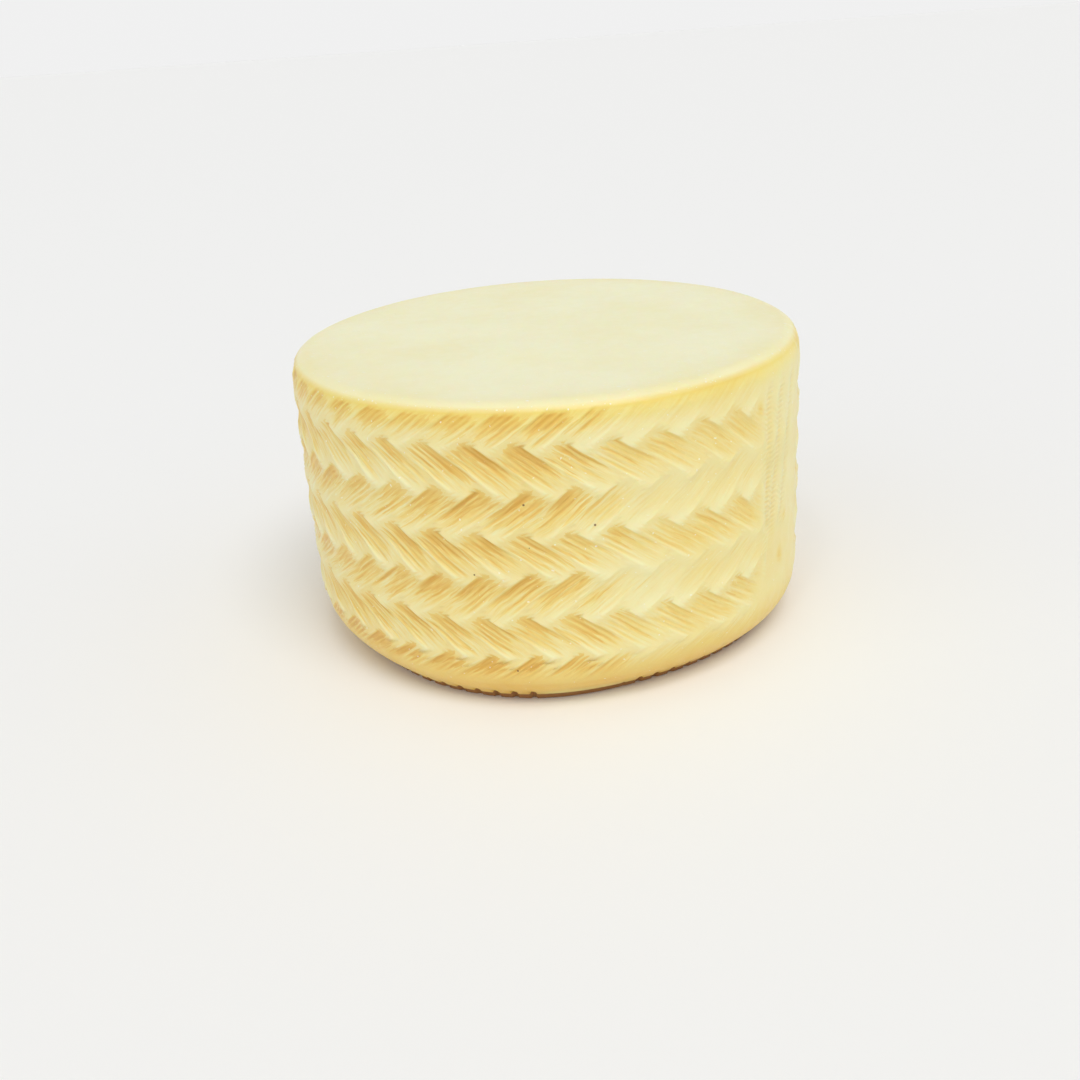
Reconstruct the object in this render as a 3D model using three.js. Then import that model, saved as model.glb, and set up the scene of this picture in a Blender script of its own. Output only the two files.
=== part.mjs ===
import * as THREE from "three";

// A whole wheel of pressed cheese, one solid piece. The mould has printed a plaited grass
// belt into its wall: rows of slanting hollows, one for each strand, that lean left and right
// in turn, with a smooth upright strip where the ends of the belt met. Top and underside are
// flat, and the lower rim is rounder in four places, where the folds of the pressing cloth lay.
//
// Millimetres, +Z up. The origin is the centre of the underside, and the front is at -Y.
// Angles go round from the front towards +X.

// Driving dimensions
const WHEEL_DIAMETER = 190;       // across the ridges of the print
const WHEEL_HEIGHT = 108.5;
const WALL_DRAFT = 0.7;           // the radius grows by this much from top to base
const WALL_BULGE = 1.0;           // the middle of the wall stands this far out from its ends
const TOP_ROUNDING = 6.3;         // radius of the rounded upper rim
const BASE_ROUNDING = 19.4;       // radius of the rounded lower rim, on average ...
const BASE_ROUNDING_CHANGE = 2.0; // ... and how much more or less it is under the folds
const CLOTH_FOLDS = 4;
const FOLD_ANGLE = THREE.MathUtils.degToRad(24);

// The plaited print, all of it pressed into the wall
const STRANDS_AROUND = 39;
const ROW_PITCH = 14.8;           // height of one row of hollows
const TOP_ROW_LINE = 95.4;        // height of the line below the top row
const FULL_ROWS = 5;              // rows below that line
const STRAND_SLOPE = THREE.MathUtils.degToRad(36.5);
const ROW_DEPTH = 1.15;           // the middle of a row lies this far below the lines around it
const STRAND_STEP = 1.0;          // a hollow's upper edge is this much deeper than its lower edge
const TOP_ROW_SHARE = 0.35;       // the upper rim cuts the top row, which is this much as deep
const FIRST_STRAND = THREE.MathUtils.degToRad(0.9);

// The smooth strip where the belt's ends met
const SEAM_ANGLE = THREE.MathUtils.degToRad(58);
const SEAM_HALF_WIDTH = THREE.MathUtils.degToRad(11);
const SEAM_FADE = THREE.MathUtils.degToRad(5);

// Mesh density
const COLUMNS_PER_STRAND = 3;
const RINGS_PER_ROW = 2;
const RINGS_PER_ROUNDING = 5;

const COLUMNS = STRANDS_AROUND * COLUMNS_PER_STRAND;
const RADIUS = WHEEL_DIAMETER / 2;
const ROW_LEAN = ROW_PITCH / Math.tan(STRAND_SLOPE) / RADIUS;
const BOTTOM_ROW_LINE = TOP_ROW_LINE - FULL_ROWS * ROW_PITCH;

// How far a rounded rim has turned in at a distance from its flat face.
function rimInset(distance, rounding) {
  const rise = Math.min(distance / rounding, 1);
  return rounding * (1 - Math.sqrt(1 - (1 - rise) ** 2));
}

// Radius of the smooth outline, without the print.
function outlineRadius(angle, height) {
  const share = height / WHEEL_HEIGHT;
  const bulge = WALL_BULGE * (4 * share * (1 - share) - 0.5);
  const folds = Math.cos(CLOTH_FOLDS * (angle - FOLD_ANGLE));
  const baseInset = rimInset(height, BASE_ROUNDING + BASE_ROUNDING_CHANGE * folds);
  const topInset = rimInset(WHEEL_HEIGHT - height, TOP_ROUNDING);
  return RADIUS + WALL_DRAFT * (0.5 - share) + bulge - baseInset - topInset;
}

// Place of a height in the plait: the row's number, 0 at the top, and how far down that row
// the height lies, from 0 to 1.
function rowPlace(height) {
  const rows = 1 + (TOP_ROW_LINE - height) / ROW_PITCH;
  const row = Math.floor(rows + 1e-6);
  return { row, down: rows - row };
}

// Even rows lean like a slash and odd rows like a backslash.
function leansRight(row) {
  return row % 2 === 0;
}

// How far the strands have shifted towards +X at a height.
function leanAt(height) {
  const { row, down } = rowPlace(height);
  return ROW_LEAN * (leansRight(row) ? 0.5 - down : down - 0.5);
}

// 1 on the plaited wall, 0 on the smooth strip along the seam.
function plaitStrength(angle) {
  const turn = angle - SEAM_ANGLE;
  const distance = Math.abs(Math.atan2(Math.sin(turn), Math.cos(turn)));
  return THREE.MathUtils.smoothstep(distance, SEAM_HALF_WIDTH, SEAM_HALF_WIDTH + SEAM_FADE);
}

// Depth of the print below the smooth outline. Across a strand's hollow it is deepest at the
// upper edge. Down a row it sinks from one line and rises again to the next.
function printDepth(column, angle, height) {
  const { row, down } = rowPlace(height);
  const place = (column % COLUMNS_PER_STRAND) / COLUMNS_PER_STRAND;
  const climb = leansRight(row) ? place : (1 - place) % 1;
  const depth = (ROW_DEPTH + STRAND_STEP * (1 - climb)) * (row === 0 ? TOP_ROW_SHARE : 1);
  return plaitStrength(angle) * depth * Math.sin(Math.PI * down);
}

// Heights of the rings of vertices, from the underside to the top, each with whether the
// print is on it.
function ringHeights() {
  const rings = [];
  for (let i = 0; i < RINGS_PER_ROUNDING; i += 1) {
    const turn = Math.PI / 2 * i / RINGS_PER_ROUNDING;
    rings.push({ height: BOTTOM_ROW_LINE * (1 - Math.cos(turn)), printed: false });
  }
  for (let i = 0; i <= FULL_ROWS * RINGS_PER_ROW + 1; i += 1) {
    rings.push({ height: BOTTOM_ROW_LINE + i * ROW_PITCH / RINGS_PER_ROW, printed: true });
  }
  for (let i = 1; i <= RINGS_PER_ROUNDING; i += 1) {
    const turn = Math.PI / 2 * i / RINGS_PER_ROUNDING;
    rings.push({ height: WHEEL_HEIGHT - TOP_ROUNDING * (1 - Math.sin(turn)), printed: false });
  }
  return rings;
}

function ringVertex(ring, column) {
  const angle = FIRST_STRAND + 2 * Math.PI * column / COLUMNS + leanAt(ring.height);
  const print = ring.printed ? printDepth(column, angle, ring.height) : 0;
  const radius = outlineRadius(angle, ring.height) - print;
  return [radius * Math.sin(angle), -radius * Math.cos(angle), ring.height];
}

// One closed solid: the rings joined by quads, and a fan of triangles over each flat face.
function wheelGeometry() {
  const rings = ringHeights();
  const vertices = rings.flatMap((ring) =>
    Array.from({ length: COLUMNS }, (_, column) => ringVertex(ring, column)));
  const underside = vertices.push([0, 0, 0]) - 1;
  const top = vertices.push([0, 0, WHEEL_HEIGHT]) - 1;
  const lastRing = (rings.length - 1) * COLUMNS;
  const triangles = [];
  for (let column = 0; column < COLUMNS; column += 1) {
    const next = (column + 1) % COLUMNS;
    triangles.push([underside, next, column]);
    triangles.push([top, lastRing + column, lastRing + next]);
    for (let start = 0; start < lastRing; start += COLUMNS) {
      const above = start + COLUMNS;
      triangles.push([start + column, start + next, above + next]);
      triangles.push([start + column, above + next, above + column]);
    }
  }
  const geometry = new THREE.BufferGeometry();
  geometry.setAttribute("position", new THREE.Float32BufferAttribute(vertices.flat(), 3));
  geometry.setIndex(triangles.flat());
  geometry.computeVertexNormals();
  return geometry;
}

// Pale yellow rind, waxy and a little glossy.
const rind = new THREE.MeshStandardMaterial({ color: 0xe9db9e, roughness: 0.45, metalness: 0 });

const cheeseWheel = new THREE.Mesh(wheelGeometry(), rind);
cheeseWheel.name = "cheese_wheel";

const object = new THREE.Group();
object.add(cheeseWheel);

export default object;
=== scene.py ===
import math
from types import SimpleNamespace

import bpy
import numpy as np
from mathutils import Matrix, Vector, geometry


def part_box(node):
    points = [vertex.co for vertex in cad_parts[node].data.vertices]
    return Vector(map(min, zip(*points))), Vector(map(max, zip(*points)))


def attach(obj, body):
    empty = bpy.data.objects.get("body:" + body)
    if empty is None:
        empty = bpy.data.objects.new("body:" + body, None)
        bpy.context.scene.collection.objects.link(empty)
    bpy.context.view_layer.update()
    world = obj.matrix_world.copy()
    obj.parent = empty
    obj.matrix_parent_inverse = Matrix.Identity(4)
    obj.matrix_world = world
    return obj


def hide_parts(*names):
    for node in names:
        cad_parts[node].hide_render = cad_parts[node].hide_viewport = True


# A whole wheel of pressed cheese. Its wall carries the print of a plaited grass belt: rows of
# slanting hollows that lean left and right in turn, each streaked by the fibres of its strand.
# Metres, +Z up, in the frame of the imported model. The front is at -Y, and angles go round from
# the front towards +X. Depths are measured inwards from the ridges of the print.

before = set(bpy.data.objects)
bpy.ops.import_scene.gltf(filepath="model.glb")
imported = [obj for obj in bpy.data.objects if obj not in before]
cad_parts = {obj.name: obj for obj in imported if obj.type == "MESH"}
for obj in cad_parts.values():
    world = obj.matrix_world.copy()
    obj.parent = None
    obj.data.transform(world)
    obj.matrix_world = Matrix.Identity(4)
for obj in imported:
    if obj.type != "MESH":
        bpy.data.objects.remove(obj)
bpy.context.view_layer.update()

MM = 0.001
NODE = "cheese_wheel"
low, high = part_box(NODE)

# ---------------------------------------------------------------- driving dimensions

HEIGHT = high.z - low.z
BULGE = 1.0 * MM                             # the middle of the wall stands out this far
RADIUS = (high.x - low.x) / 2 - BULGE / 2    # across the ridges of the print
DRAFT = 0.7 * MM                             # the radius grows by this much from top to base
TOP_ROUNDING = 6.3 * MM
BASE_ROUNDING = 19.4 * MM                    # radius of the rounded lower rim, on average ...
BASE_ROUNDING_CHANGE = 2.0 * MM              # ... and how much more or less under the folds
CLOTH_FOLDS = 4
FOLD_ANGLE = math.radians(24)

# The plait
STRANDS = 39
PITCH = 2 * math.pi * RADIUS / STRANDS       # from one strand to the next round the wheel
SLOPE_ANGLE = math.radians(36.5)
SLOPE = math.tan(SLOPE_ANGLE)                # of the strands, as rise over run
ROW_PITCH = 14.8 * MM
ROW_RUN = ROW_PITCH / SLOPE                  # how far a strand runs sideways over one row
TOP_ROW_LINE = 95.4 * MM                     # middle of the zigzag line below the top row
ROW_LINES = 6
ZIGZAG = SLOPE * PITCH / 2                   # height of the zigzag between two rows
FIRST_STRAND = RADIUS * math.radians(0.9)    # where a strand starts on the top zigzag
FIBRES = 5                                   # streaks printed by each strand
ROW_DEPTH = 0.85 * MM
BODY_DEPTH = 0.3 * MM
FIBRE_DEPTH = 0.42 * MM
RIDGE_HEIGHT = 0.25 * MM

# The smooth strip where the belt's ends met
SEAM_ANGLE = math.radians(58)
SEAM_HALF_WIDTH = math.radians(10)
SEAM_FADE = math.radians(4)

# Where each column of stitches runs at mid height, and how far it leans forward going down
STITCHES = [(50.0, 0.03), (54.3, 0.1), (60.0, 0.12)]    # degrees, and degrees per millimetre
STITCH_LEVEL = 75 * MM
STITCH_PITCH = 1.75 * MM
WELT_ANGLE = math.radians(48.3)              # a raised welt that carries on below the stitches
SPOTS = [(47.0, 93.0, 1.2), (59.0, 47.0, 1.3), (56.0, 33.0, 2.0)]    # degrees, mm up, mm across

# The lip round the underside
LIP_HEIGHT = 2.4 * MM
LIP_RAISE = 0.3 * MM                         # how much higher it is where it is highest ...
LIP_RAISE_ANGLE = math.radians(-7)           # ... and where that is
LIP_BEAD = 1.0 * MM                          # how far it sticks out of the rounding above it
BEAD_HEIGHT = 2.8 * MM
FOOT_PROFILE = [(0.4, 2.3), (0.9, 2.0), (1.2, 1.2), (1.4, 0.5), (1.7, 0.0)]  # mm inwards, mm up
BARE_LIP_ANGLE = math.radians(4)             # middle of the stretch without notches
NOTCHES = 83                                 # round the whole lip, the bare stretch included
NOTCH_INWARDS = 0.9 * MM
NOTCH_UPWARDS = 1.5 * MM
NOTCH_TOP = 5.5 * MM                         # above this height the rounding has no notches
CREASE_HEIGHT = 9 * MM                       # a faint crease along the front of the rounding
CREASE_DEPTH = 0.25 * MM

# How much the hand-made wall wavers
DRIFT = 0.5 * MM                             # of the print, up and down and round the wheel
SWELL = 0.22 * MM                            # of the surface, in and out
PRINT_INSET = 0.25 * MM                      # keeps the ridges inside the outline

# Mesh density
COLUMNS_PER_STRAND = 26
COLUMNS = STRANDS * COLUMNS_PER_STRAND
FIRST_COLUMN = 6.25                          # strands from the front, so it lies in the seam
RINGS_PER_ROW = 10
BASE_RINGS = 13
SHOULDER_RINGS = 6
RIM_RINGS = 8


# ---------------------------------------------------------------- small helpers

def smooth(value, start, end):
    """0 before start, 1 after end, and an even S between."""
    share = np.clip((value - start) / (end - start), 0, 1)
    return share * share * (3 - 2 * share)


def bell(value, centre, width):
    """1 at the centre, falling off over the width on both sides."""
    return np.exp(-((value - centre) / width) ** 2)


def turn_from(angle, centre):
    """Signed angle from centre, between -pi and pi."""
    return np.arctan2(np.sin(angle - centre), np.cos(angle - centre))


def ripple(angle, height, seed, shortest, longest, waves=10):
    """Smooth noise on the wall, about -1 to 1: waves in random directions, with lengths between
    the two given ones, that close on themselves round the wheel."""
    draw = np.random.default_rng(seed)
    total = np.zeros(np.broadcast(angle, height).shape)
    for _ in range(waves):
        length = draw.uniform(shortest, longest)
        direction = draw.uniform(0, 2 * math.pi)
        turns = round(2 * math.pi * RADIUS / length * math.cos(direction))
        climb = 2 * math.pi / length * math.sin(direction)
        total += np.sin(turns * angle + climb * height + draw.uniform(0, 2 * math.pi))
    return total / math.sqrt(waves)


def flat_ripple(x, y, seed, shortest, longest, waves=14):
    """The same for a flat face."""
    draw = np.random.default_rng(seed)
    total = np.zeros(np.shape(x))
    for _ in range(waves):
        length = draw.uniform(shortest, longest)
        direction = draw.uniform(0, 2 * math.pi)
        along = x * math.cos(direction) + y * math.sin(direction)
        total += np.sin(2 * math.pi * along / length + draw.uniform(0, 2 * math.pi))
    return total / math.sqrt(waves)


# ---------------------------------------------------------------- the smooth outline

def rim_inset(distance, rounding):
    """How far a rounded rim has turned in at a distance from its flat face."""
    rise = np.minimum(distance / rounding, 1)
    return rounding * (1 - np.sqrt(1 - (1 - rise) ** 2))


def outline_radius(angle, height):
    """Radius of the wheel along the ridges of its print."""
    share = height / HEIGHT
    bulge = BULGE * (4 * share * (1 - share) - 0.5)
    folds = np.cos(CLOTH_FOLDS * (angle - FOLD_ANGLE))
    base = rim_inset(height, BASE_ROUNDING + BASE_ROUNDING_CHANGE * folds)
    top = rim_inset(HEIGHT - height, TOP_ROUNDING)
    return RADIUS + DRAFT * (0.5 - share) + bulge - base - top


# ---------------------------------------------------------------- the plaited print

def zigzag(around, line):
    """Height of a zigzag line between two rows. Lines are numbered down from the top one."""
    start = FIRST_STRAND + (line % 2) * ROW_RUN
    from_peak = np.abs((around - start + PITCH / 2) % PITCH - PITCH / 2)
    return TOP_ROW_LINE - line * ROW_PITCH + ZIGZAG / 2 - SLOPE * from_peak


def strand_place(around, height):
    """Where each point of the wall lies in the plait. row and number tell which strand's hollow
    it is in. across runs from 0 at the hollow's upper edge to 1 at the lower, along from 0 at
    its upper end to 1 at the lower, and down from 0 to 1 between the zigzag lines. side is 1
    where strands lean like a backslash and -1 where they lean like a slash. fibre is a place
    in metres along, across and between the rows, for grain that follows the strands."""
    row = sum((height < zigzag(around, line)).astype(int) for line in range(ROW_LINES))
    side = np.where(row % 2 == 1, 1, -1)
    start = FIRST_STRAND + ((row - 1) % 2) * ROW_RUN
    drop = TOP_ROW_LINE - (row - 1) * ROW_PITCH + ZIGZAG / 2 - height
    below = (drop - side * SLOPE * (around - start)) / (SLOPE * PITCH)
    count = np.floor(below)
    along = (drop / SLOPE + side * (around - start + side * count * PITCH)) / 2 / ROW_RUN
    upper = zigzag(around, row - 1)
    down = (upper - height) / (upper - zigzag(around, row))
    fibre = np.stack([(drop + side * SLOPE * around) * math.cos(SLOPE_ANGLE),
                      below * PITCH * math.sin(SLOPE_ANGLE), row * 50 * MM], axis=-1)
    return SimpleNamespace(row=row, number=(-side * count).astype(int) % STRANDS, side=side,
                           across=below - count, along=np.clip(along, 0, 1), down=down,
                           fibre=fibre)


def draw_strand(place, seed, fibre=0):
    """A random number from 0 to 1 for each fibre of each strand."""
    table = np.random.default_rng(seed).random((ROW_LINES + 1, STRANDS, FIBRES))
    return table[place.row, place.number, fibre]


def strand_span(place):
    """along, but measured from the rim in the top row, which the rim cuts short."""
    return np.where(place.row == 0, np.clip((place.along - 0.27) / 0.73, 0, 1), place.along)


def streaks(place):
    """How strongly the fibres have printed, from 0 to about 1: fine lines along each strand,
    the upper ones the strongest, each with its own start and end."""
    span = strand_span(place)
    total = np.zeros(span.shape)
    for fibre in range(FIBRES):
        rank = fibre / (FIBRES - 1)
        centre = (fibre + 0.55 + 0.4 * (draw_strand(place, 12, fibre) - 0.5)) / (FIBRES + 0.4)
        width = 0.075 - 0.03 * rank
        start = 0.05 + 0.12 * draw_strand(place, 13, fibre)
        end = 1.0 - 0.4 * draw_strand(place, 14, fibre)
        reach = smooth(span, start, start + 0.08) * (1 - smooth(span, end - 0.25, end))
        force = (1.0 - 0.35 * rank) * (0.5 + 0.6 * draw_strand(place, 15, fibre))
        total += force * reach * bell(place.across, centre, width)
    return total


def body(place):
    """The broad hollow under the streaks, from 0 to 1: over the upper half of the strands that
    lean like a slash, and along the upper edge of the others."""
    span = strand_span(place)
    lengthwise = smooth(span, 0.03, 0.13) * (1 - smooth(span, 0.4, 0.85))
    reach = np.where(place.side == 1, 0.55, 0.95)
    crosswise = smooth(place.across, 0.0, 0.1) * (1 - smooth(place.across, 0.3 * reach, reach))
    return lengthwise * crosswise * (0.6 + 0.5 * draw_strand(place, 16))


def stain(place):
    """Where the strand has stained the rind, from 0 to 1: fully at its upper end, then less and
    less, so that the grain breaks it into fingers."""
    span = strand_span(place)
    lengthwise = smooth(span, 0.02, 0.1) * (1.12 - span) * (1 - smooth(span, 0.8, 1.0))
    drop = np.where(place.side == 1, 0.6, 0.35)
    crosswise = smooth(place.across, 0.0, 0.07) * (1 - drop * smooth(place.across, 0.15, 0.95))
    crosswise = crosswise * np.where(place.side == 1, 0.92, 1.0)
    return lengthwise * crosswise * (0.8 + 0.35 * draw_strand(place, 17))


def ridges(place):
    """The thin raised ridge along the lower edge of each strand, from 0 to 1. Its pale colour is a
    painted highlight.
    """
    gap = np.abs((place.across - 0.93 + 0.5) % 1 - 0.5)
    lengthwise = smooth(place.along, 0.1, 0.4) * (1 - smooth(place.along, 0.85, 1.0))
    return bell(gap, 0, 0.055) * lengthwise * np.where(place.side == 1, 1.0, 0.6)


def plaited(angle, height):
    """1 where the plait is printed: not along the seam, and fading out at the rims."""
    beside = np.abs(turn_from(angle, SEAM_ANGLE))
    strength = smooth(beside, SEAM_HALF_WIDTH, SEAM_HALF_WIDTH + SEAM_FADE)
    return strength * smooth(height, 11 * MM, 18 * MM) * smooth(HEIGHT - height, 2 * MM, 4 * MM)


def faintness(angle, place):
    """How much of the print shows: beside the seam it fades, most on the strands that lean like a
    slash and some on the others. There it is shallower, and its fainter colour is painted light,
    where the light washes these grooves out."""
    near_seam = 1 - smooth(np.abs(turn_from(angle, math.radians(42))), math.radians(24),
                           math.radians(40))
    fade = np.where(place.side == 1, 0.42, 0.85)
    return 1 - fade * near_seam


def plait_print(angle, height):
    """The plait at each point: depth, tone, where its grain and stain show, and fibre place. Tone
    is 0 for the pale rind, about 1 in the darkest streaks, and below 0 along the ridges and the
    lower ends of the hollows, which are painted whitish as highlights."""
    place = strand_place(angle * RADIUS, height)
    here = plaited(angle, height)
    left = faintness(angle, place)
    uneven = 1 + 0.18 * ripple(angle, height, 5, 25 * MM, 90 * MM)
    marks = streaks(place) * left * uneven
    hollow = body(place) * left * uneven
    ridge = ridges(place) * left
    row_hollow = np.sin(math.pi * np.clip(place.down, 0, 1))
    row_share = np.where(place.row == 0, 0.45, np.where(place.row == ROW_LINES, 0.5, 1.0))
    depth = ROW_DEPTH * row_hollow * row_share
    depth = depth + BODY_DEPTH * hollow + FIBRE_DEPTH * marks - RIDGE_HEIGHT * ridge
    # painted highlight: the lower ends and edges of the hollows, which face up, are painted
    # lighter
    end_highlight = smooth(place.along, 0.5, 0.9) * smooth(place.across, 0.3, 0.9)
    tone = 0.1 * row_hollow + 0.06 * hollow + 0.58 * marks - 0.2 * ridge - 0.15 * end_highlight
    inside = smooth(place.down, 0.07, 0.22) * (1 - smooth(place.down, 0.78, 0.93))
    stained = stain(place) * left ** 1.6 * here
    # painted light: beside the seam, the strands that lean like a slash are painted paler still
    tone = tone - 0.16 * (1 - left) * (place.side == -1)
    row_weight = np.select([place.row == 0, place.row == ROW_LINES], [0.7, 1.35], 1.0)
    marked = here * (0.4 + 0.6 * left) * row_weight
    return SimpleNamespace(depth=depth * here, tone=tone * here, grain=marked * inside,
                           stain=stained, marked=marked, fibre=place.fibre)


# ---------------------------------------------------------------- the seam and the lower rim

def stitch_print(angle, height):
    """Depth and tone of the belt's stitched ends, and where the stitches are: upright grooves
    with a raised ridge in front of each, fading out in the lower half, where a welt begins, and
    a few brown spots. The ridges and the welt are painted lighter, as highlights."""
    held = smooth(height, 36 * MM, 52 * MM) * smooth(HEIGHT - height, 6 * MM, 14 * MM)
    depth = np.zeros(angle.shape)
    tone = np.zeros(angle.shape)
    mask = np.zeros(angle.shape)
    for middle, lean in STITCHES:
        centre = math.radians(middle) + (height - STITCH_LEVEL) / MM * math.radians(lean)
        offset = turn_from(angle, centre) * RADIUS
        groove = bell(offset, 0, 1.7 * MM) * held
        ridge = bell(offset, -3.4 * MM, 0.9 * MM) * held
        depth += 0.35 * MM * groove - 0.3 * MM * ridge
        # tone: darker in the grooves, and the ridges painted lighter, as highlights
        tone += 0.1 * groove - 0.16 * ridge
        mask += groove
    welt = bell(turn_from(angle, WELT_ANGLE) * RADIUS, 0, 0.8 * MM)
    welt = welt * smooth(height, 26 * MM, 36 * MM) * (1 - smooth(height, 62 * MM, 74 * MM))
    for degrees, level, size in SPOTS:
        beside = turn_from(angle, math.radians(degrees)) * RADIUS
        tone += 0.45 * bell(np.hypot(beside, 0.6 * (height - level * MM)), 0, size * MM)
    # the welt stands out and is painted lighter, as a highlight
    return depth - 0.3 * MM * welt, tone - 0.25 * welt, mask


def bare_lip(angle):
    """1 on the stretch of the lip without notches."""
    beside = np.abs(turn_from(angle, BARE_LIP_ANGLE))
    return 1 - smooth(beside, math.radians(8), math.radians(12))


def notches(angle):
    """About 1 in the small notches round the lip, 0 between them. A stretch of the front has
    none, and they are unevenly spaced and deep."""
    wave = np.cos(NOTCHES * angle + 0.6 * np.sin(7 * angle))
    weight = 0.9 + 0.3 * ripple(angle, 0 * angle, 21, 20 * MM, 120 * MM)
    return smooth(wave, 0.35, 0.95) * np.clip(weight, 0.25, 1.1) * (1 - bare_lip(angle))


# ---------------------------------------------------------------- the mesh

def ring_heights():
    """Heights of all rings of the wall, from the lip to the top face. Over the rows they are
    closer together at the lines between rows."""
    bottom = TOP_ROW_LINE - (ROW_LINES - 1) * ROW_PITCH
    base = LIP_HEIGHT + (bottom - LIP_HEIGHT) * (np.arange(BASE_RINGS) / BASE_RINGS) ** 1.6
    steps = np.arange(1, RINGS_PER_ROW + 1) / RINGS_PER_ROW
    eased = steps - 0.4 * np.sin(2 * math.pi * steps) / (2 * math.pi)
    rows = [bottom + (row + eased) * ROW_PITCH for row in range(ROW_LINES - 1)]
    shoulder = np.linspace(TOP_ROW_LINE, HEIGHT - TOP_ROUNDING, SHOULDER_RINGS + 1)[1:]
    rim = HEIGHT - TOP_ROUNDING * (1 - np.sin(np.linspace(0, math.pi / 2, RIM_RINGS + 1)[1:]))
    return np.concatenate([base, [bottom], *rows, shoulder, rim])


def lean_at(height):
    """How far the mesh's columns have shifted to follow the strands, round the wheel."""
    down = (TOP_ROW_LINE - height) / ROW_PITCH
    across = np.abs((down + 1) % 2 - 1)      # 0 and 1 at the row lines, in turn
    return ROW_RUN * (across - 0.5)


def wall_points(angle, height, depth, notch, crease):
    """Points of the wall. Notches are lifted after the radius is worked out, so that they cut
    upwards into the lip instead of sliding out along the rounding."""
    bead = np.clip(1 - (height - LIP_HEIGHT) / BEAD_HEIGHT, 0, 1) ** 2
    raised = LIP_RAISE * bell(turn_from(angle, LIP_RAISE_ANGLE), 0, math.radians(14))
    raised = raised * (1 - smooth(height, LIP_HEIGHT, 6 * MM))
    held = smooth(height, 6 * MM, 20 * MM) * smooth(HEIGHT - height, 8 * MM, 16 * MM)
    drift = DRIFT * held
    placed = angle + 1.3 * drift * ripple(angle, height, 31, 30 * MM, 110 * MM) / RADIUS
    level = height + drift * ripple(angle, height, 32, 30 * MM, 110 * MM) + raised
    swell = SWELL * ripple(angle, height, 33, 40 * MM, 160 * MM)
    inset = depth + NOTCH_INWARDS * notch - LIP_BEAD * bead + PRINT_INSET - swell
    radius = outline_radius(placed, level) - inset - CREASE_DEPTH * crease
    level = level + NOTCH_UPWARDS * notch
    return np.stack([radius * np.sin(placed), -radius * np.cos(placed), level], axis=-1)


def base_tone(angle, height, crease):
    """Tone of the lower rounding: golden, partly the rind's own colour and partly painted warm
    bounce light, with a pale painted highlight along the lip where it has no notches.
    """
    # golden towards the base: partly the rind's own colour, partly painted warm bounce light
    band = 1 - smooth(height, 4 * MM, 24 * MM)
    # painted highlight: a pale line along the lip, strongest where it has no notches
    lip_highlight = (1 - smooth(height, 3.5 * MM, 6.5 * MM)) * (0.15 + 0.85 * bare_lip(angle))
    return 0.68 * band - 0.5 * lip_highlight + 0.15 * crease


def wall_grid():
    """The wall's grid of points, with the shader's values at each."""
    heights = ring_heights()[:, None]
    turns = np.arange(COLUMNS)[None, :] / COLUMNS
    first = FIRST_STRAND + FIRST_COLUMN * PITCH
    angle = (first + lean_at(heights)) / RADIUS + 2 * math.pi * turns
    height = np.broadcast_to(heights, angle.shape)

    plait = plait_print(angle, height)
    stitch_depth, stitch_tone, stitch = stitch_print(angle, height)
    notch = notches(angle) * (1 - smooth(height, LIP_HEIGHT, NOTCH_TOP))
    crease = bell(height, CREASE_HEIGHT, 1.0 * MM) * bell(turn_from(angle, 0), 0, math.radians(20))
    points = wall_points(angle, height, plait.depth + stitch_depth, notch, crease)

    # painted shade: the wall is painted darker and yellower towards the top rim, most on the
    # rounding
    rim_band = smooth(height, HEIGHT - 9 * MM, HEIGHT - 5 * MM)
    rim_edge = bell(height, HEIGHT - 2 * MM, 1.8 * MM)
    seam_side = bell(turn_from(angle, SEAM_ANGLE), 0, math.radians(14))
    beyond = bell(turn_from(angle, SEAM_ANGLE), 0, math.radians(38))
    cloud = ripple(angle, height, 6, 30 * MM, 120 * MM)
    rim_painted_shade = 0.1 * rim_band + 0.25 * rim_edge
    wide_tone = 0.07 * cloud + 0.09 - 0.12 * seam_side + 0.05 * beyond
    values = {
        "tone": plait.tone + stitch_tone + base_tone(angle, height, crease) + rim_painted_shade + wide_tone,
        "stitch": stitch,
        "grain": plait.grain,
        # yellower towards the top rim as painted shade, and a little round the seam and all over
        "yellow": np.clip(0.4 * rim_band + 0.3 * rim_edge + 0.12 * beyond + 0.13, 0, 1),
        "foot": np.zeros(angle.shape),
        "stain": plait.stain,
        "marked": plait.marked,
        "face": 0.8 * smooth(height, HEIGHT - 2.6 * MM, HEIGHT - 0.9 * MM),
        "fibre": plait.fibre,
    }
    return points, values


def foot_rings(lip):
    """Rings of the underside just inside the lip: a shallow undercut, then the flat foot."""
    rings = []
    reach = np.hypot(lip[:, 0], lip[:, 1])[:, None]
    raised = lip[:, 2] - LIP_HEIGHT
    for inwards, up in FOOT_PROFILE:
        ring = lip.copy()
        ring[:, :2] *= 1 - inwards * MM / reach
        ring[:, 2] = up * MM * (1 + raised / LIP_HEIGHT)
        rings.append(ring)
    return np.array(rings[::-1])


def sunflower(radius, spacing):
    """Points spread evenly over a disc."""
    count = int(math.pi * radius ** 2 / (0.87 * spacing ** 2))
    index = np.arange(count) + 0.5
    reach = radius * np.sqrt(index / count)
    turn = index * math.pi * (3 - math.sqrt(5))
    return np.stack([reach * np.cos(turn), reach * np.sin(turn)], axis=-1)


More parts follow.
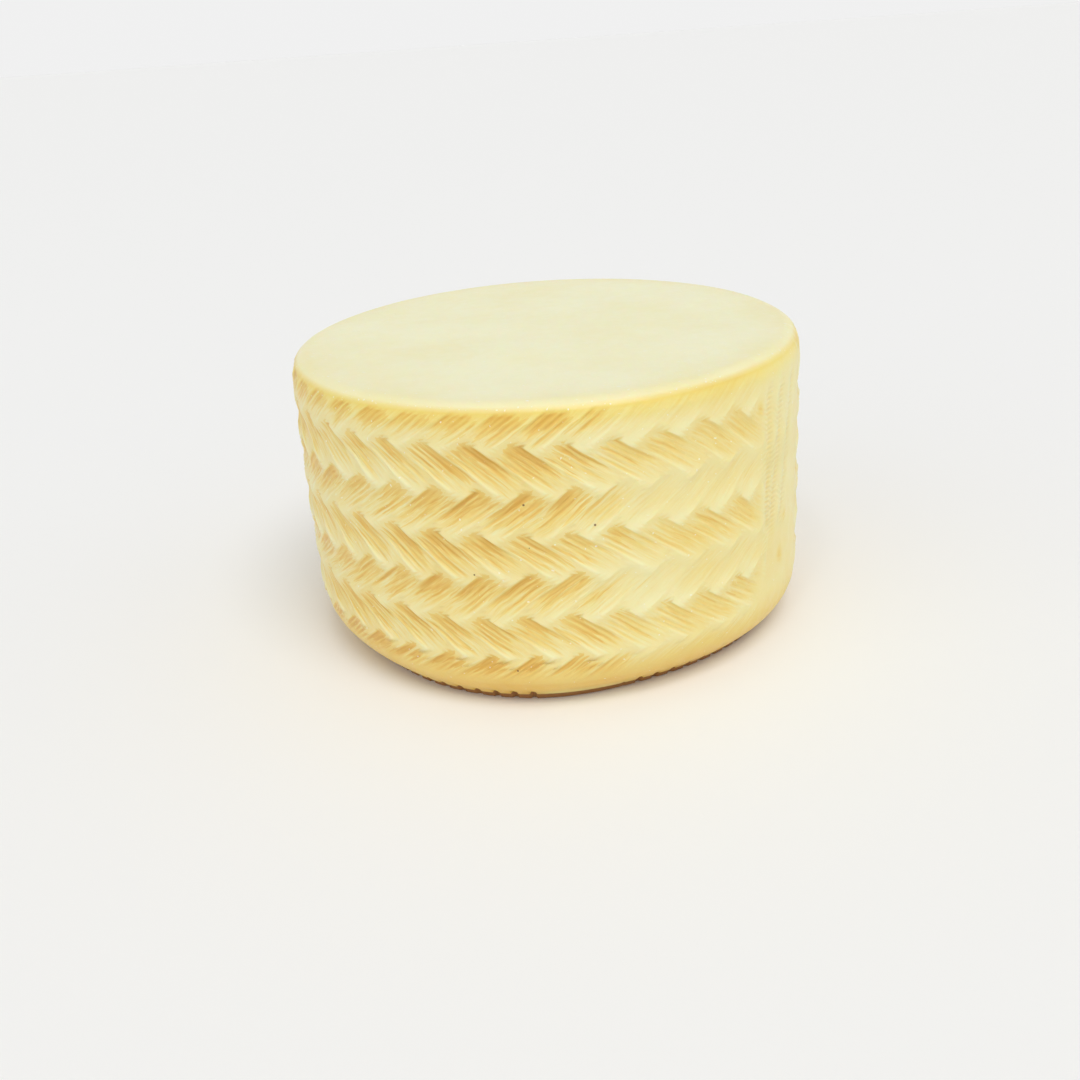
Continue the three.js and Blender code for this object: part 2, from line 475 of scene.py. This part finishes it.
def fill_ring(ring, spacing):
    """Points inside a ring and the triangles that fill it, which number the ring's own points
    first."""
    reach = np.hypot(ring[:, 0], ring[:, 1]).min() - 0.6 * spacing
    inner = sunflower(reach, spacing)
    flat = [Vector(point) for point in np.concatenate([ring[:, :2], inner])]
    loop = [list(range(len(ring)))]
    _, _, faces, origin, *_ = geometry.delaunay_2d_cdt(flat, [], loop, 1, 1e-9)
    return inner, np.array([[origin[corner][0] for corner in face] for face in faces])


def face_points(inner, level, swell, inwards):
    """The points of a flat face, swelling slowly away from its edge."""
    reach = np.hypot(inner[:, 0], inner[:, 1])
    return np.column_stack([inner, level + swell * (1 - smooth(reach, *inwards))])


def numbered(faces, ring_start, inner_start):
    """Turns the numbers of fill_ring into those of the whole mesh."""
    return np.where(faces < COLUMNS, faces + ring_start, faces - COLUMNS + inner_start)


def wheel_mesh():
    wall, values = wall_grid()
    grid = np.concatenate([foot_rings(wall[0]), wall])
    feet = len(FOOT_PROFILE)
    rings = len(grid)
    index = np.arange(rings * COLUMNS).reshape(rings, COLUMNS)
    right = np.roll(index, -1, axis=1)
    quads = np.stack([index[:-1], right[:-1], right[1:], index[1:]], axis=-1).reshape(-1, 4)

    top, top_faces = fill_ring(grid[-1], 2.3 * MM)
    under, under_faces = fill_ring(grid[0], 2.8 * MM)
    top_swell = -0.16 * MM * (1 + flat_ripple(*top.T, 41, 18 * MM, 70 * MM))
    under_swell = 0.12 * MM * (1 + flat_ripple(*under.T, 42, 18 * MM, 70 * MM)).clip(0)
    vertices = np.concatenate([
        grid.reshape(-1, 3),
        face_points(top, HEIGHT, top_swell, (0.6 * RADIUS, 0.92 * RADIUS)),
        face_points(under, 0, under_swell, (0.5 * RADIUS, 0.75 * RADIUS)),
    ])
    top_start = rings * COLUMNS
    under_start = top_start + len(top)
    top_faces = numbered(top_faces, (rings - 1) * COLUMNS, top_start)
    under_faces = numbered(under_faces, 0, under_start)[:, ::-1]

    mesh = bpy.data.meshes.new("cheese_wheel_rind")
    mesh.from_pydata(vertices.tolist(), [],
                     quads.tolist() + top_faces.tolist() + under_faces.tolist())
    mesh.shade_smooth()

    defaults = {"tone": 0.15, "face": 1.0}
    for name, value in values.items():
        shape = value.shape[2:]
        whole = np.full((len(vertices), *shape), defaults.get(name, 0.0))
        whole[feet * COLUMNS:rings * COLUMNS] = value.reshape(-1, *shape)
        if name == "foot":
            whole[:feet * COLUMNS] = 1
        if name == "face":
            reach = np.hypot(top[:, 0], top[:, 1])
            whole[:feet * COLUMNS] = 0
            # painted shade: the outer ring of the top face takes a little of the wall's yellower
            # colour
            whole[top_start:under_start] = 1 - 0.15 * smooth(reach, 0.8 * RADIUS, 0.93 * RADIUS)
            whole[under_start:] = 0.6
        kind, field = ("FLOAT_VECTOR", "vector") if shape else ("FLOAT", "value")
        mesh.attributes.new(name, kind, "POINT").data.foreach_set(
            field, whole.astype(np.float32).ravel())

    add_map(mesh, vertices, quads, top_faces, under_faces, grid)
    return mesh


def add_map(mesh, vertices, quads, top_faces, under_faces, grid):
    """A flat map of the surface: the wall in two strips, and the two flat faces above them."""
    half = COLUMNS // 2
    strip_width, strip_height, margin = 0.96, 0.33, 0.01
    steps = np.linalg.norm(np.diff(grid[:, 0], axis=0), axis=1)
    climb = np.concatenate([[0], np.cumsum(steps)]) / steps.sum()
    column = np.tile(np.arange(COLUMNS), len(grid) - 1)
    ring = np.repeat(np.arange(len(grid) - 1), COLUMNS)
    strip = column // half
    left = margin + strip_width * (column - strip * half) / half
    right = left + strip_width / half
    foot = margin + strip * (strip_height + margin)
    lower = foot + strip_height * climb[ring]
    upper = foot + strip_height * climb[ring + 1]
    wall = np.stack([left, lower, right, lower, right, upper, left, upper], axis=-1)
    size = 0.29 / (2 * RADIUS)
    middle = 2 * (strip_height + margin) + margin + 0.15
    top = vertices[top_faces.ravel(), :2] * size + (0.2, middle)
    under = vertices[under_faces.ravel(), :2] * size * (1, -1) + (0.6, middle)
    layer = mesh.uv_layers.new(name="OFBake")
    layer.uv.foreach_set("vector", np.concatenate(
        [wall.ravel(), top.ravel(), under.ravel()]).astype(np.float32))


# ---------------------------------------------------------------- materials

class Shader:
    """Builds a material's nodes. An input may be a number, a colour or another node's output."""

    def __init__(self, name):
        self.material = bpy.data.materials.new(name)
        self.material.use_nodes = True
        self.tree = self.material.node_tree
        self.surface = self.tree.nodes["Principled BSDF"]

    def connect(self, node, inputs):
        for name, value in inputs.items():
            if isinstance(value, bpy.types.NodeSocket):
                self.tree.links.new(value, node.inputs[name])
            elif isinstance(value, tuple) and node.inputs[name].type == "RGBA":
                node.inputs[name].default_value = (*value, 1)
            else:
                node.inputs[name].default_value = value

    def node(self, kind, inputs, **settings):
        node = self.tree.nodes.new("ShaderNode" + kind)
        for name, value in settings.items():
            setattr(node, name, value)
        self.connect(node, inputs)
        return node

    def math(self, operation, first, second=0.0):
        return self.node("Math", {0: first, 1: second}, operation=operation).outputs[0]

    def noise(self, place, scale, detail=3.0, roughness=0.5):
        """Smooth noise about 0, from -0.5 to 0.5."""
        node = self.node("TexNoise", {"Vector": place, "Scale": scale, "Detail": detail,
                                      "Roughness": roughness})
        return self.math("SUBTRACT", node.outputs["Fac"], 0.5)

    def ramp(self, value, start, end, low=0.0, high=1.0):
        return self.node("MapRange", {"Value": value, "From Min": start, "From Max": end,
                                      "To Min": low, "To Max": high}).outputs["Result"]

    def mix(self, share, first, second):
        return self.node("Mix", {"Factor": share, 6: first, 7: second},
                         data_type="RGBA").outputs[2]

    def attribute(self, name, output="Fac"):
        return self.node("Attribute", {}, attribute_name=name).outputs[output]

    def bump(self, height, distance, normal=None):
        inputs = {"Height": height, "Distance": distance}
        if normal is not None:
            inputs["Normal"] = normal
        return self.node("Bump", inputs).outputs["Normal"]


# Tones of the rind, from the whitish painted highlights on the ridges to the darkest streaks
TONES = [
    (-0.25, (0.87, 0.82, 0.50)),
    (0.05, (0.86, 0.745, 0.365)),
    (0.40, (0.84, 0.645, 0.215)),
    (0.75, (0.80, 0.53, 0.13)),
    (1.20, (0.73, 0.42, 0.075)),
]
# Tiny brown pits, by degrees round the wheel, and height and size in millimetres
PITS = [(-6.7, 76.2, 0.34), (6.6, 68.0, 0.3), (-6.2, 61.5, 0.2), (-17.5, 52.1, 0.22),
        (-10.4, 16.4, 0.25)]
YELLOWER = (0.99, 1.03, 0.72)
FACE_COLOUR = (0.91, 0.885, 0.59)
FACE_SHADE = (0.895, 0.85, 0.515)
# painted highlight: the colour of the specks that stand for tiny glints
GLINT_COLOUR = (0.93, 0.92, 0.8)
PIT_COLOUR = (0.17, 0.08, 0.02)
FOOT_COLOUR = (0.34, 0.15, 0.04)             # stands for the dark shadow under the wheel


def tone_colour(shader, tone):
    """The rind's colour for a tone."""
    palest, darkest = TONES[0][0], TONES[-1][0]
    ramp = shader.tree.nodes.new("ShaderNodeValToRGB")
    stops = ramp.color_ramp.elements
    while len(stops) < len(TONES):
        stops.new(0.5)
    for stop, (tone_at, colour) in zip(stops, TONES):
        stop.position = (tone_at - palest) / (darkest - palest)
        stop.color = (*colour, 1)
    shader.connect(ramp, {"Fac": shader.ramp(tone, palest, darkest)})
    return ramp.outputs["Color"]


def pits(shader, place):
    """1 in the tiny pits of the wall, 0 elsewhere."""
    squash = (1.0, 0.2, 1.0)     # all of them are near the front, so depth hardly counts
    place = shader.node("VectorMath", {0: place, 1: squash}, operation="MULTIPLY").outputs[0]
    pitted = 0.0
    for degrees, level, size in PITS:
        angle, height = math.radians(degrees), level * MM
        reach = float(outline_radius(angle, height)) - 0.5 * ROW_DEPTH
        centre = (reach * math.sin(angle), -squash[1] * reach * math.cos(angle), height)
        away = shader.node("VectorMath", {0: place, 1: centre}, operation="DISTANCE")
        pit = shader.ramp(away.outputs["Value"], 1.6 * size * MM, 0.9 * size * MM)
        pitted = shader.math("MAXIMUM", pitted, pit)
    return pitted


def strand_grain(shader, place):
    """Grain along the strands, and the fingers that it makes of the stain. The fibre place is
    squeezed along the strand, and waves a little."""
    waves = shader.math("MULTIPLY", shader.noise(place, 130, 2.0), 1.3 * MM)
    waves = shader.node("CombineXYZ", {"Y": waves}).outputs[0]
    wavy = shader.node("VectorMath", {0: shader.attribute("fibre", "Vector"), 1: waves},
                       operation="ADD")
    squeezed = shader.node("VectorMath", {0: wavy.outputs[0], 1: (0.07, 1.0, 1.0)},
                           operation="MULTIPLY").outputs[0]
    grain = shader.noise(squeezed, 900, 3.0, 0.7)
    grain = shader.math("MULTIPLY", grain, shader.attribute("grain"))
    fingers = shader.math("MULTIPLY", shader.noise(squeezed, 760, 2.0, 0.55), 2.8)
    fingers = shader.ramp(shader.math("ADD", fingers, shader.attribute("stain")), 0.52, 0.64)
    return grain, shader.math("MULTIPLY", fingers, shader.attribute("marked"))


def glint_specks(shader, place, face):
    """1 in the pale specks, painted in as tiny glints, which are thicker on the rounded rim where
    wall and top blend.
    """
    at_rim = shader.math("MULTIPLY", face, shader.math("SUBTRACT", 1.0, face))
    at_rim = shader.math("MULTIPLY", shader.math("POWER", at_rim, 2.0), 1.6)
    return shader.ramp(shader.math("ADD", shader.noise(place, 1000, 0.0), at_rim), 0.32, 0.36)


def stitch_waves(shader, place):
    """The stitches across the seam's grooves, as waves up the wall."""
    height = shader.node("SeparateXYZ", {"Vector": place}).outputs["Z"]
    waves = shader.math("SINE", shader.math("MULTIPLY", height, 2 * math.pi / STITCH_PITCH))
    return shader.math("MULTIPLY", waves, shader.attribute("stitch"))


def rind_colour(shader, place, grain, fingers, stitch):
    """Colour of the rind: the wall by its tone, the flat faces paler, then pale specks painted as
    glints, pits, and the foot painted dark as the shadow under the wheel."""
    tone = shader.attribute("tone")
    cloud = shader.noise(place, 60, 4.0, 0.6)
    for part, strength in [(cloud, 0.22), (grain, 1.4), (fingers, 0.35), (stitch, 0.09)]:
        tone = shader.math("ADD", tone, shader.math("MULTIPLY", part, strength))
    wall = tone_colour(shader, tone)
    yellow = shader.node("VectorMath", {0: wall, 1: YELLOWER}, operation="MULTIPLY").outputs[0]
    wall = shader.mix(shader.attribute("yellow"), wall, yellow)
    flat = shader.mix(shader.ramp(shader.noise(place, 26, 4.0, 0.6), -0.1, 0.14),
                      FACE_COLOUR, FACE_SHADE)
    face = shader.attribute("face")
    colour = shader.mix(face, wall, flat)
    # painted glints: pale specks, thickest along the rim
    specks = shader.math("MULTIPLY", glint_specks(shader, place, face), 0.7)
    colour = shader.mix(specks, colour, GLINT_COLOUR)
    colour = shader.mix(pits(shader, place), colour, PIT_COLOUR)
    return shader.mix(shader.attribute("foot"), colour, FOOT_COLOUR)


def rind_material():
    """Pale rind, stained yellow in the hollows of the print, a little translucent and waxy."""
    shader = Shader("cheese_rind")
    place = shader.node("TexCoord", {}).outputs["Object"]
    grain, fingers = strand_grain(shader, place)
    stitch = stitch_waves(shader, place)

    normal = shader.bump(shader.noise(place, 150, 3.0, 0.5), 0.35 * MM)
    normal = shader.bump(grain, 0.25 * MM, normal)
    normal = shader.bump(stitch, 0.08 * MM, normal)
    normal = shader.bump(shader.noise(place, 900, 3.0, 0.6), 0.12 * MM, normal)

    shader.connect(shader.surface, {
        "Base Color": rind_colour(shader, place, grain, fingers, stitch),
        "Roughness": shader.ramp(shader.noise(place, 220, 3.0), -0.2, 0.2, 0.34, 0.56),
        "Normal": normal,
        "Subsurface Weight": 0.35,
        "Subsurface Radius": (1.0, 0.6, 0.25),
        "Subsurface Scale": 1.4 * MM,
        "Coat Weight": 0.12,
        "Coat Roughness": 0.18,
    })
    return shader.material


def plain_material(name, colour, roughness):
    shader = Shader(name)
    shader.connect(shader.surface, {"Base Color": colour, "Roughness": roughness})
    return shader.material


# ---------------------------------------------------------------- the object

def add(name, data):
    piece = bpy.data.objects.new(name, data)
    bpy.context.scene.collection.objects.link(piece)
    return piece


wheel = add("cheese_wheel_rind", wheel_mesh())
wheel.data.materials.append(rind_material())
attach(wheel, "root")
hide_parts(NODE)


# ---------------------------------------------------------------- floor, light and camera

FLOOR_SIZE = 400                             # half its side, in wheel radii
WORLD_HORIZON = 0.875                        # brightness of the surroundings at floor level ...
WORLD_ABOVE = 0.5                            # ... and higher up
LIGHTS = [                                   # name, direction, spread in degrees, strength
    ("key", (2.0, -4.0, 8.6), 35, 0.39),
    ("fill", (-6.0, -5.0, 4.0), 60, 0.09),
    ("side", (7.0, -1.5, 3.0), 60, 0.05),
    ("sparkle", (-0.25, -0.45, 0.9), 7, 0.05),
]
CAMERA_PLACE = Vector((-0.0704, -4.333, 2.2044)) * RADIUS
CAMERA_DOWN = math.radians(24.55)            # how far below level it looks
CAMERA_ROLL = math.radians(-4.02)
SENSOR_WIDTH = 36
LENS = 36.93


def make_floor():
    half = FLOOR_SIZE * RADIUS
    mesh = bpy.data.meshes.new("floor")
    corners = [(-half, -half, 0), (half, -half, 0), (half, half, 0), (-half, half, 0)]
    mesh.from_pydata(corners, [], [(0, 1, 2, 3)])
    mesh.materials.append(plain_material("floor_white", (0.9, 0.9, 0.89), 0.8))
    floor = add("floor", mesh)


def make_light(name, direction, spread, strength):
    """Soft light from a direction, the same all over the floor."""
    data = bpy.data.lights.new(name, "SUN")
    data.angle = math.radians(spread)
    data.energy = strength * math.pi
    light = add(name, data)
    light.rotation_euler = Vector(direction).to_track_quat("Z", "Y").to_euler()


def make_world():
    world = bpy.data.worlds.new("studio")
    world.use_nodes = True
    nodes = world.node_tree.nodes
    links = world.node_tree.links
    separate = nodes.new("ShaderNodeSeparateXYZ")
    links.new(nodes.new("ShaderNodeTexCoord").outputs["Generated"], separate.inputs["Vector"])
    climb = nodes.new("ShaderNodeMapRange")
    climb.inputs["From Min"].default_value = 0.05
    climb.inputs["From Max"].default_value = 0.5
    climb.inputs["To Min"].default_value = WORLD_HORIZON
    climb.inputs["To Max"].default_value = WORLD_ABOVE
    links.new(separate.outputs["Z"], climb.inputs["Value"])
    links.new(climb.outputs["Result"], nodes["Background"].inputs["Strength"])
    nodes["Background"].inputs["Color"].default_value = (1, 1, 1, 1)
    bpy.context.scene.world = world


def make_camera():
    data = bpy.data.cameras.new("camera")
    data.sensor_width = SENSOR_WIDTH
    data.lens = LENS
    camera = add("camera", data)
    place = Matrix.Translation(CAMERA_PLACE)
    tilt = Matrix.Rotation(math.pi / 2 - CAMERA_DOWN, 4, "X")
    roll = Matrix.Rotation(CAMERA_ROLL, 4, "Z")
    camera.matrix_world = place @ tilt @ roll
    data.clip_start = 0.1 * RADIUS
    data.clip_end = 2 * FLOOR_SIZE * RADIUS
    bpy.context.scene.camera = camera


make_floor()
for light in LIGHTS:
    make_light(*light)
make_world()
make_camera()
bpy.context.scene.view_settings.view_transform = "Standard"
